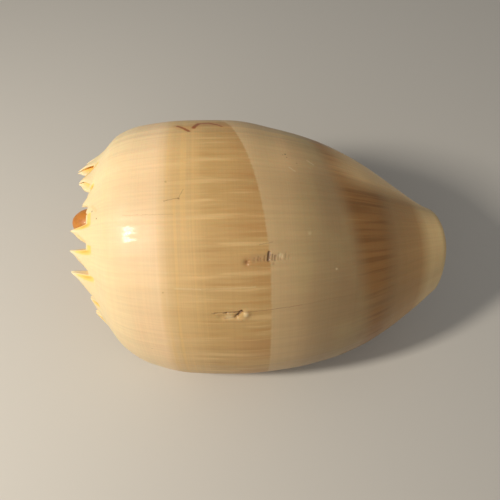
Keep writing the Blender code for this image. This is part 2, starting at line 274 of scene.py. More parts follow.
def outerProfile(turns, stations):
    # the outer wall with the slanting folds where it is the columella
    points = wallProfile(turns, stations)
    turns = np.asarray(turns, float)[:, None]
    along = points[..., 0] / form["bodyLength"] - form["foldStart"] - form["foldSlant"] * turns
    folded = (along > 0.0) & (along < form["foldCount"] * form["foldPitch"])
    fade = 1.0 - smoothStep(form["foldFade"][0], form["foldFade"][1], turns)
    ridge = form["foldHeight"] * fade * np.sin(math.pi * along / form["foldPitch"]) ** 2
    points[..., 1] += np.where(folded, ridge, 0.0)
    return points


def innerProfile(turns, stations):
    # the wall's inner face, which meets the columella where the canal begins
    turns = np.asarray(turns, float)
    stations = np.asarray(stations, float)
    step = form["slopeStep"]
    taper = smoothStep(0.0, form["lipTaper"], -turns)
    thick = form["lipWall"] + (form["wall"] - form["lipWall"]) * taper

    def movedIn(places):
        along = wallProfile(turns, np.minimum(places + step, 1.0))
        along -= wallProfile(turns, np.maximum(places - step, 0.0))
        along /= np.linalg.norm(along, axis=-1, keepdims=True)
        square = np.stack((along[..., 1], -along[..., 0]), axis=-1)
        return wallProfile(turns, places) + thick[:, None, None] * square

    last = np.array([1.0])
    gap = outerProfile(turns - 1.0, last) - movedIn(last)
    joined = smoothStep(-form["canalTurn"] - form["joinTurns"], -form["canalTurn"], -turns)
    share = smoothStep(form["joinStation"], 1.0, stations) * joined[:, None]
    return movedIn(stations) + share[..., None] * gap


def place(points, turns):
    # from the half plane at each turn to space
    angles = math.radians(form["lipAngle"]) + 2.0 * math.pi * np.asarray(turns, float)
    if points.ndim > 2:
        angles = angles[:, None]
    axial, radius = points[..., 0], points[..., 1]
    return np.stack((axial, radius * np.cos(angles), radius * np.sin(angles)), axis=-1)


def spineNumbers(turns):
    return np.floor(turns * spines["perTurn"] + 1e-6)


def ofTheirOwn(listed, usual, numbers):
    # the listed value of each spine's place in its turn, or else the usual one
    return np.array([listed.get(int(number), usual) for number in numbers % spines["perTurn"]])


def spinePhases(turns):
    # how far along its spine each turn is; a late spine stays at its start for a while
    numbers = spineNumbers(turns)
    late = ofTheirOwn(spines["lateFeet"], 0.0, numbers)
    return np.maximum(turns * spines["perTurn"] - numbers - late, 0.0) / (1.0 - late)


def spineHeights(turns):
    numbers = spineNumbers(turns)
    heights = spines["height"] * form["whorlGrowth"] ** (spines["growth"] * turns)
    beat = np.sin(spines["beat"][0] * numbers + spines["beat"][1])
    heights = heights * (1.0 + spines["uneven"] * beat)
    heights = heights * smoothStep(form["firstTurn"], form["firstTurn"] + spines["startTurns"], turns)
    heights = np.where(turns < -1.0, heights * spines["olderShare"], heights)
    heights = heights * ofTheirOwn(spines["shorter"], 1.0, numbers)
    heights = np.where(numbers == spines["broken"], heights * spines["brokenShare"], heights)
    heights = np.where(numbers >= -spines["lowCount"], heights * spines["lowShare"], heights)
    return np.where(numbers >= 0, 0.0, heights)


def crownLines(turns):
    # suture, ramp, inner foot, inner arm, gutter, outer arm, outer foot, and the height share of each
    growth = form["whorlGrowth"] ** (spines["crownGrowth"] * turns)
    growth = growth * smoothStep(form["firstTurn"], form["firstTurn"] + spines["crownStart"], turns)
    size = growth[:, None]
    suture = wallProfile(turns - 1.0, np.zeros(1))[:, 0]
    outerFoot = wallProfile(turns, np.zeros(1))[:, 0]
    middle = outerFoot + size * np.array((-spines["gutterRise"], -spines["foot"]))
    innerFoot = outerFoot + size * np.array((spines["innerFootDrop"], -2.0 * spines["foot"]))
    ramp = suture + 0.5 * (innerFoot - suture) + size * np.array((spines["rampDip"], 0.0))
    phase = spinePhases(turns)
    broken = spineNumbers(turns) == spines["broken"]
    edge = smoothCurve(spines["steps"], spines["brokenEdge"], phase)
    lean = math.radians(spines["lean"])
    full = spineHeights(turns)[:, None]
    rise = full * np.array((-math.cos(lean), -math.sin(lean)))
    feet = spineNumbers(turns) / spines["perTurn"]
    sweep = np.radians(smoothCurve(spines["sweepTurns"], spines["sweep"], feet))
    sweep = full[:, 0] * np.sin(sweep) / (2.0 * math.pi * middle[:, 1])
    lines = [place(points, turns) for points in (suture, ramp, innerFoot)]
    shares = [np.zeros(len(turns))] * 3
    for side, heights in ((-1.0, "innerArm"), (0.0, "gutter"), (1.0, "outerArm")):
        height = smoothCurve(spines["steps"], spines[heights], phase)
        chipped = edge * (1.0 + spines["ragged"] * np.sin(spines["chips"] * phase + side))
        height = np.where(broken, chipped, height)
        spread = spines["arm"] * size[:, 0] * (1.0 - spines["pinch"] * np.maximum(height, 0.0))
        points = middle + rise * height[:, None]
        points[:, 1] += side * spread
        lines.append(place(points, turns + sweep * height))
        shares.append(height * full[:, 0] / spines["height"])
    lines.append(place(outerFoot, turns))
    shares.append(np.zeros(len(turns)))
    return np.stack(lines, axis=1), np.stack(shares, axis=1)


def smoothAcross(lines, after):
    # a smooth curve across the crown through its seven lines, on into the wall below them
    before = lines[:, :1] * 2.0 - lines[:, 1:2]
    knots = np.concatenate((before, lines, after), axis=1)
    columns = [lines[:, 0]]
    for index, count in enumerate(mesh["stretchColumns"]):
        older, start, end, newer = (knots[:, index + offset] for offset in range(4))
        for step in range(1, count + 1):
            share = step / count
            squared, cubed = share ** 2, share ** 3
            columns.append(
                0.5 * (
                    2.0 * start
                    + (end - older) * share
                    + (2.0 * older - 5.0 * start + 4.0 * end - newer) * squared
                    + (3.0 * start - older - 3.0 * end + newer) * cubed
                )
            )
    return np.stack(columns, axis=1)


def valuesAcross(values):
    # the same curve for one value at each line
    return smoothAcross(values[:, :, None], values[:, -1:, None])[..., 0]


def spineDimples(turns, places):
    (phase, phaseWidth), (spot, spotWidth) = spines["dimplePhase"], spines["dimplePlace"]
    along = np.exp(-((spinePhases(turns) - phase) / phaseWidth) ** 2)[:, None]
    across = np.exp(-((places - spot) / spotWidth) ** 2)[None, :]
    return along * across * (turns > spines["dimpleTurns"])[:, None]


def reliefOver(turns, stations):
    # growth lines run across the whorl, and slow waves keep it from being a perfect curve
    rng = np.random.default_rng(relief["seed"])
    turns = np.asarray(turns, float)[:, None]
    stations = np.asarray(stations, float)[None, :]
    height = np.zeros((turns.shape[0], stations.shape[1]))
    (beatAlong, beatAcross), (bendDepth, bendAcross) = relief["lineBeat"], relief["lineBend"]
    for count in np.geomspace(relief["lineLow"], relief["lineHigh"], relief["lineCount"]):
        phase, bend, beat = rng.uniform(0.0, 2.0 * math.pi, 3)
        strength = 0.5 + 0.5 * np.sin(beatAlong * turns + beatAcross * stations + beat)
        height += relief["lineHeight"] * strength * np.sin(
            2.0 * math.pi * count * turns + phase + bendDepth * np.sin(bendAcross * stations + bend)
        )
    for _ in range(relief["waveCount"]):
        along, across = rng.uniform(*relief["waveAlong"]), rng.uniform(*relief["waveAcross"])
        phase = rng.uniform(0.0, 6.28)
        wave = np.sin(2.0 * math.pi * along * turns + across * stations + phase)
        height += relief["waveHeight"] * wave
    for turn, ledge, reach in relief["halts"]:
        # rises slowly to the halt and drops off sharply after it
        rise = smoothStep(turn - reach, turn, turns)
        height += ledge * rise * (1.0 - smoothStep(turn, turn + relief["haltEdge"], turns))
    fade = smoothStep(0.0, relief["endFade"], stations)
    return height * fade * smoothStep(1.0, 1.0 - relief["endFade"], stations)


def tickEnds(station, length):
    # both ends of a tick, which all end at the same turn
    last = scars["tickEnd"]
    return (last - length, station + scars["tickSlant"] * length), (last, station)


def scarHeights(growth, across):
    # how far the scars lift or sink each corner
    size = np.array((scars["turnLength"], scars["stationLength"]))
    where = np.stack((growth, across), axis=1) * size
    lines = list(scars["lines"])
    for station, length, depth, halfWidth, _ in scars["ticks"]:
        lines.append((-depth, halfWidth, *tickEnds(station, length)))
    height = np.zeros(len(where))
    for lift, halfWidth, start, end in lines:
        start, way = np.array(start) * size, (np.array(end) - np.array(start)) * size
        share = np.clip((where - start) @ way / way.dot(way), 0.0, 1.0)
        away = np.linalg.norm(where - start - share[:, None] * way, axis=1)
        height += lift * np.exp(-(away / halfWidth) ** 2)
    for lift, radius, middle in scars["bumps"]:
        away = np.linalg.norm(where - np.array(middle) * size, axis=1)
        height += lift * np.exp(-(away / radius) ** 2)
    return height


def carveScars(work):
    # cuts the mesh up finely round the scars and moves its corners along their normals
    growth, across, inside = (work.verts.layers.float[name] for name in ("growth", "across", "inside"))

    def cornersNear(patches):
        return [
            corner for corner in work.verts
            if corner[inside] == 0.0 and any(
                turns[0] < corner[growth] < turns[1] and stations[0] < corner[across] < stations[1]
                for turns, stations in patches
            )
        ]

    for patch in scars["patches"]:
        near = set(cornersNear([patch]))
        edges = [edge for edge in work.edges if edge.verts[0] in near and edge.verts[1] in near]
        bmesh.ops.subdivide_edges(work, edges=edges, cuts=scars["cuts"], use_grid_fill=True)
    work.normal_update()
    touched = cornersNear(scars["patches"])
    heights = scarHeights(*(np.array([corner[layer] for corner in touched]) for layer in (growth, across)))
    normals = [corner.normal.copy() for corner in touched]
    for corner, normal, height in zip(touched, normals, heights):
        corner.co += normal * float(height)


class Skin:
    # gathers corners, what is known at each corner, and faces
    names = ("growth", "across", "inside", "crown", "spine", "hollow")

    def __init__(self):
        self.points = []
        self.notes = []
        self.faces = []
        self.count = 0

    def add(self, points, **notes):
        shape = points.shape[:-1]
        total = int(np.prod(shape))
        self.points.append(points.reshape(-1, 3))
        columns = [np.broadcast_to(notes.get(name, 0.0), shape).reshape(-1) for name in self.names]
        self.notes.append(np.stack(columns, axis=1))
        indexes = np.arange(self.count, self.count + total).reshape(shape)
        self.count += total
        return indexes

    def placed(self, indexes):
        return np.concatenate(self.points)[indexes]

    def face(self, ring):
        kept = [int(index) for step, index in enumerate(ring) if index != ring[step - 1]]
        if len(kept) > 2:
            self.faces.append(kept)

    def grid(self, indexes):
        for older, newer in zip(indexes[:-1], indexes[1:]):
            rings = np.stack((older[:-1], older[1:], newer[1:], newer[:-1]), axis=1)
            if np.any(older[:-1] == older[1:]) or np.any(older == newer):
                for ring in rings:
                    self.face(ring)
            else:
                self.faces.extend(rings.tolist())

    def ribbon(self, lines):
        for first, second in zip(lines[:-1], lines[1:]):
            self.grid(np.stack((first, second)))

    def zipUp(self, coarse, fine):
        # joins two lines where the fine one has several corners to each stretch of the coarse one
        ratio = (len(fine) - 1) // (len(coarse) - 1)
        for index in range(len(coarse) - 1):
            middle = index * ratio + ratio // 2
            for step in range(index * ratio, (index + 1) * ratio):
                base = coarse[index] if step < middle else coarse[index + 1]
                self.face((base, fine[step + 1], fine[step]))
            self.face((coarse[index], coarse[index + 1], fine[middle]))

    def fan(self, ring, middle):
        for index in range(len(ring)):
            self.face((ring[index - 1], ring[index], middle))


def rowTurns():
    # every spine has the same number of rows, so a row and the one a turn older line up
    tip = spines["steps"][1]
    back = np.linspace(0.0, tip, mesh["backRows"], endpoint=False)
    slope = np.linspace(tip, 1.0, mesh["slopeRows"], endpoint=False)
    lateSlope = np.linspace(tip, 1.0, mesh["slopeRows"] - spines["lateRows"], endpoint=False)
    rows = []
    for number in range(round(form["firstTurn"] * spines["perTurn"]), 0):
        late = spines["lateFeet"].get(number % spines["perTurn"], 0.0)
        if late:
            wait = np.linspace(0.0, late, spines["lateRows"], endpoint=False)
            steps = (wait, late + (1.0 - late) * back, late + (1.0 - late) * lateSlope)
        else:
            steps = (back, slope)
        rows.append((number + np.concatenate(steps)) / spines["perTurn"])
    return np.append(np.concatenate(rows), 0.0)


def wallStations():
    # even columns, with one exactly where the newer whorl is joined on
    above = max(2, round(form["attachStation"] * mesh["wallColumns"]))
    upper = np.linspace(0.0, form["attachStation"], above, endpoint=False)
    lower = np.linspace(form["attachStation"], 1.0, mesh["wallColumns"] - above + 1)
    return np.concatenate((upper, lower)), above


def edgeBetween(outer, inner, bulge):
    # rows round an edge, from its outer line to its inner one, each with how far in it is
    rows = []
    for step in range(1, mesh["edgeRows"] + 1):
        inside = step / (mesh["edgeRows"] + 1)
        share = 0.5 - 0.5 * math.cos(math.pi * inside)
        rows.append((inside, outer + share * (inner - outer) + math.sin(math.pi * inside) * bulge))
    return rows


def addCrown(skin, turns, turnRows):
    # one strip for both whorls; its first line is the older whorl's last one
    lines, heights = crownLines(turns)
    below = place(wallProfile(turns, np.array([0.5 * form["attachStation"]])), turns)
    points = smoothAcross(lines, below)
    depth = np.zeros_like(heights)
    depth[:, 4] = np.maximum(0.5 * (heights[:, 3] + heights[:, 5]) - heights[:, 4], 0.0)
    places = np.linspace(-1.0, 0.0, points.shape[1])
    dimples = spineDimples(turns, places)
    points[..., 0] += spines["dimple"] * dimples
    crown = skin.add(
        points,
        growth=turns[:, None],
        across=places,
        crown=1.0 - smoothStep(mesh["crownFade"], 0.0, places),
        spine=valuesAcross(heights),
        hollow=np.maximum(np.maximum(valuesAcross(depth), 0.0), spines["dimpleGlowShade"] * dimples),
    )
    crown[0, :] = crown[0, 0]
    crown[turnRows:, 0] = crown[:-turnRows, -1]
    skin.grid(crown)
    return crown, places


def addDome(skin, turns, turnRows, crown):
    # inside the first turn of the crown
    base = wallProfile(np.array([form["firstTurn"]]), np.zeros(1))[0, 0]
    ring = np.append(crown[:turnRows, 0], crown[0, 0])
    rimTurns = turns[:turnRows:mesh["domeStride"]]
    lean = np.array(dome["lean"])
    for share in np.linspace(0.0, 1.0, mesh["domeRings"] + 1)[1:-1]:
        level = math.sin(0.5 * math.pi * share)
        radius = smoothCurve(dome["levels"], dome["radii"], level)
        point = np.array((base[0] - dome["height"] * level, base[1] * radius))
        points = place(np.repeat(point[None], len(rimTurns), axis=0), rimTurns)
        points += lean * smoothStep(0.0, dome["leanLevel"], level)
        inner = skin.add(points, growth=form["firstTurn"], across=-1.0 - share, crown=1.0)
        inner = np.append(inner, inner[0])
        if len(ring) > len(inner):
            skin.zipUp(inner, ring)
        else:
            skin.grid(np.stack((ring, inner)))
        ring = inner
    apexPoint = np.array([[base[0] - dome["height"], 0.0, 0.0]]) + lean
    apex = skin.add(apexPoint, growth=form["firstTurn"], across=-2.0, crown=1.0)
    skin.fan(ring[:-1], apex[0])


def addWall(skin, turns, turnRows, stations, crown):
    # outside of the last whorl
    newest = turns[turnRows:]
    profile = outerProfile(newest, stations)
    profile[..., 1] += reliefOver(newest, stations)
    outer = skin.add(place(profile, newest), growth=newest[:, None], across=stations)
    outer[:, 0] = crown[turnRows:, -1]
    skin.grid(outer)
    return outer


def addHollow(skin, turns, turnRows, stations, joint, crown, outer):
    # ceiling and wall on one side, older whorl and columella on the other
    last = len(turns) - 1
    hollowRows = round(form["cavityTurns"] * turnRows)
    depths = -turns[last - hollowRows:][::-1][::mesh["insideStride"]]
    draw = form["tipDraw"] * smoothStep(-form["canalTurn"], form["cavityTurns"], depths)
    kept = stations[joint:]
    ceilingCount = crown.shape[1] - 1
    columellas = np.zeros((len(depths), len(kept)), int)
    walls = np.zeros((len(depths), ceilingCount + len(stations)), int)
    for row, depthHere in enumerate(depths):
        reach = 1.0 - draw[row]
        here = np.array([-depthHere])
        older = outerProfile(here - 1.0, reach * kept)[0]
        if row == 0:
            columellas[0] = outer[0, joint:]
        else:
            points = place(older, np.repeat(here, len(kept)))
            columellas[row] = skin.add(points, growth=here - 1.0, across=kept, inside=1.0)
        inner = innerProfile(here, reach * stations)[0]
        rise = np.arange(1, ceilingCount)[:, None] / ceilingCount
        ceiling = older[0] + (inner[0] - older[0]) * rise
        side = np.concatenate((ceiling, inner))
        places = np.concatenate((np.zeros(ceilingCount - 1), stations))
        points = place(side, np.repeat(here, len(side)))
        walls[row, 1:] = skin.add(points, growth=here, across=places, inside=1.0)
        walls[row, 0] = columellas[row, 0]
        if depthHere > -form["canalTurn"] - 1e-6:
            walls[row, -1] = columellas[row, -1]
    skin.grid(walls)
    skin.grid(columellas)
    ring = np.concatenate((walls[-1, :-1], columellas[-1, :0:-1]))
    middle = skin.placed(ring).mean(axis=0)[None]
    end = skin.add(middle, growth=-form["cavityTurns"], across=0.5, inside=1.0)
    skin.fan(ring, end[0])
    return walls, columellas


def addLip(skin, stations, joint, crown, crownPlaces, outer, walls):
    # rounded edge from the crown to the front end
    lipOuter = np.concatenate((crown[-1, 1:], outer[-1, 1:]))
    lipInner = walls[0, 1:]
    places = np.concatenate((crownPlaces[1:], stations[1:]))
    forward = place(np.array([[0.0, 1.0]]), np.array([0.25]))[0] * form["edgeRound"]
    edges = [lipOuter]
    for inside, points in edgeBetween(skin.placed(lipOuter), skin.placed(lipInner), forward):
        edges.append(skin.add(points, across=places, inside=inside))
    edges.append(lipInner)
    skin.ribbon(edges)
    skin.face([crown[-1, 0]] + [edge[0] for edge in edges] + list(outer[0, 1:joint + 1][::-1]))
    return edges


def addFront(skin, turns, turnRows, outer, walls, columellas, edges):
    # the same edge on along the front end, and the columella's end
    canalRows = round(-form["canalTurn"] * turnRows)
    back = turns[len(turns) - 1 - canalRows:][::-1]
    rimOuter = outer[turnRows - canalRows:, -1][::-1]
    rimPoints = place(innerProfile(back, np.array([1.0]))[:, 0], back)
    forward = np.array((form["edgeRound"], 0.0, 0.0))
    rims = [rimOuter]
    for edge, (inside, points) in zip(edges[1:], edgeBetween(skin.placed(rimOuter), rimPoints, forward)):
        rim = skin.add(points, growth=back, across=1.0, inside=inside)
        rim[0] = edge[-1]
        rims.append(rim)
    skin.ribbon(rims)
    canalDepths = canalRows // mesh["insideStride"]
    skin.zipUp(walls[:canalDepths + 1, -1], rims[-1])

    loop = list(outer[:turnRows - canalRows + 1, -1])
    loop += [rim[-1] for rim in rims[1:]]
    loop += list(columellas[1:canalDepths + 1, -1][::-1])
    tipPoint = np.array([[form["bodyLength"] * form["wallEnd"][0] + form["edgeRound"], 0.0, 0.0]])
    tip = skin.add(tipPoint, growth=-1.0, across=1.0)
    skin.fan(loop, tip[0])


def buildSkin():
    skin = Skin()
    turns = rowTurns()
    turnRows = spines["perTurn"] * (mesh["backRows"] + mesh["slopeRows"])
    stations, joint = wallStations()
    crown, crownPlaces = addCrown(skin, turns, turnRows)
    addDome(skin, turns, turnRows, crown)
    outer = addWall(skin, turns, turnRows, stations, crown)
    walls, columellas = addHollow(skin, turns, turnRows, stations, joint, crown, outer)
    edges = addLip(skin, stations, joint, crown, crownPlaces, outer, walls)
    addFront(skin, turns, turnRows, outer, walls, columellas, edges)
    return skin


def layDown(points):
    # turned as it rests, set in the CAD box, and flat where it touches the ground
    yaw, pitch, roll = (math.radians(angle) for angle in form["rest"])
    turn = Matrix.Rotation(yaw, 3, "Z") @ Matrix.Rotation(pitch, 3, "Y") @ Matrix.Rotation(roll, 3, "X")
    points = points @ np.array(turn).T
    low, high = np.array(cadBox[0]), np.array(cadBox[1])
    middle = 0.5 * (points.min(axis=0) + points.max(axis=0))
    shift = 0.5 * (low + high) - middle
    shift[2] = high[2] - points[:, 2].max()
    points = points + shift
    points[:, 2] = np.maximum(points[:, 2], low[2])
    return points


def makeShell():
    skin = buildSkin()
    points = layDown(np.concatenate(skin.points))
    used = np.unique(np.concatenate([np.asarray(face) for face in skin.faces]))
    renumber = np.full(skin.count, -1)
    renumber[used] = np.arange(len(used))
    faces = [[int(renumber[index]) for index in face] for face in skin.faces]
    data = bpy.data.meshes.new("crownedShell")
    data.from_pydata(points[used].tolist(), [], faces)
    data.validate()
    notes = np.concatenate(skin.notes)[used]
    for column, name in enumerate(skin.names):
        layer = data.attributes.new(name, "FLOAT", "POINT")
        layer.data.foreach_set("value", notes[:, column].astype(np.float32))
    work = bmesh.new()
    work.from_mesh(data)
    bmesh.ops.recalc_face_normals(work, faces=work.faces)
    carveScars(work)
    bmesh.ops.triangulate(work, faces=[face for face in work.faces if len(face.verts) > 4])
    work.to_mesh(data)
    openEdges = sum(1 for edge in work.edges if len(edge.link_faces) != 2)
    work.free()
    data.shade_smooth()
    piece = bpy.data.objects.new("crownedShell", data)
    bpy.context.scene.collection.objects.link(piece)
    counts = (len(data.vertices), len(data.polygons), openEdges)
    print("shell: %d corners, %d faces, %d open edges" % counts)
    return piece


shell = makeShell()


class Wire:
    # a node's output socket, so that shader maths reads as plain expressions
    mathNames = {"+": "ADD", "-": "SUBTRACT", "*": "MULTIPLY"}

    def __init__(self, tree, socket):
        self.tree = tree
        self.socket = socket

    @classmethod
    def make(cls, tree, kind, settings, sockets, output=0):
        # any node: its settings first, then a value or a link for each socket
        node = tree.nodes.new(kind)
        for name, value in settings.items():
            if name == "stops":
                elements = node.color_ramp.elements
                while len(elements) < len(value):
                    elements.new(0.5)
                for element, (position, colour) in zip(elements, value):
                    element.position = position
                    element.color = (*colour, 1.0)
            else:
                setattr(node, name, value)
        for name, value in sockets.items():
            if isinstance(value, Wire):
                tree.links.new(value.socket, node.inputs[name])
            else:
                node.inputs[name].default_value = value
        return cls(tree, node.outputs[output])

    def node(self, kind, settings, sockets, output=0):
        return Wire.make(self.tree, kind, settings, sockets, output)

    def combine(self, sign, first, second):
        kinds = [item.socket.type for item in (first, second) if isinstance(item, Wire)]
        operation = self.mathNames[sign]
        if "RGBA" in kinds:
            settings = {"data_type": "RGBA", "blend_type": operation}
            return self.node("ShaderNodeMix", settings, {0: 1.0, 6: first, 7: second}, 2)
        if "VECTOR" in kinds:
            return self.node("ShaderNodeVectorMath", {"operation": operation}, {0: first, 1: second})
        return self.node("ShaderNodeMath", {"operation": operation}, {0: first, 1: second})

    def __add__(self, other):
        return self.combine("+", self, other)

    def __radd__(self, other):
        return self.combine("+", other, self)

    def __sub__(self, other):
        return self.combine("-", self, other)

    def __rsub__(self, other):
        return self.combine("-", other, self)

    def __mul__(self, other):
        return self.combine("*", self, other)

    def __rmul__(self, other):
        return self.combine("*", other, self)

    def maths(self, operation, *others):
        sockets = {0: self}
        for index, other in enumerate(others):
            sockets[index + 1] = other
        return self.node("ShaderNodeMath", {"operation": operation}, sockets)

    def step(self, low, high, start=0.0, end=1.0):
        # eased from start to end as the value goes from low to high
        settings = {"interpolation_type": "SMOOTHSTEP"}
        sockets = {"Value": self, "From Min": low, "From Max": high, "To Min": start, "To Max": end}
        return self.node("ShaderNodeMapRange", settings, sockets)

    def clamped(self):
        return self.node("ShaderNodeClamp", {}, {"Value": self})

    def over(self, colour, cover):
        # this colour with another laid over it
        sockets = {0: cover, 6: self, 7: colour}
        return self.node("ShaderNodeMix", {"data_type": "RGBA"}, sockets, 2)


